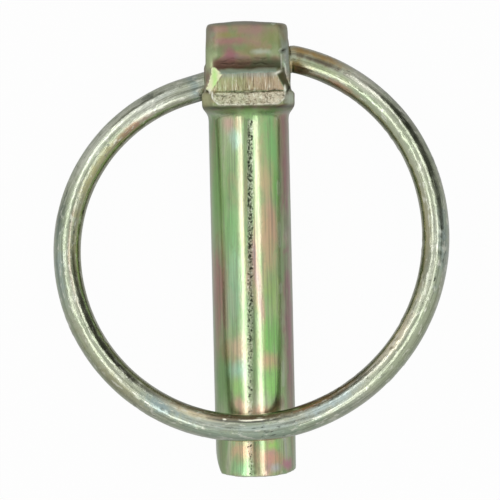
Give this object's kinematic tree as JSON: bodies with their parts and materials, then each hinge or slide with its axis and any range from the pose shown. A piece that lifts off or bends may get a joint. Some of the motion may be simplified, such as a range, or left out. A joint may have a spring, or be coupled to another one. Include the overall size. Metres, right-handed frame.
{
  "type": "lynch pin",
  "caption": "Forged locking pin with a beaked head, a collar and a sprung wire ring that closes over the shank to stop it backing out",
  "frame": {"origin": "on the shank's axis at the shoulder, where the shank meets the collar", "axes": "+Y up the shank towards the head, +Z out of the front, the side that the closed ring lies on, +X to the side with the higher ring hole"},
  "size_m": [0.0492, 0.0566, 0.0138],
  "materials": {
    "plated_forging": "yellow zinc plate, satin",
    "plated_wire": "yellow zinc plate, semi-gloss"
  },
  "bodies": {
    "body": {"pin_body": "plated_forging"},
    "ring": {"snap_ring": "plated_wire"}
  },
  "joints": [
    {"name": "ring_swing", "type": "hinge", "parent": "body", "child": "ring", "pos_m": [0, 0.00535, 0], "axis": [-0.9623, -0.272, 0], "range_deg": [0, 341.5], "stiffness_Nm_per_rad": 0.06, "springref_deg": -2.86}
  ]
}
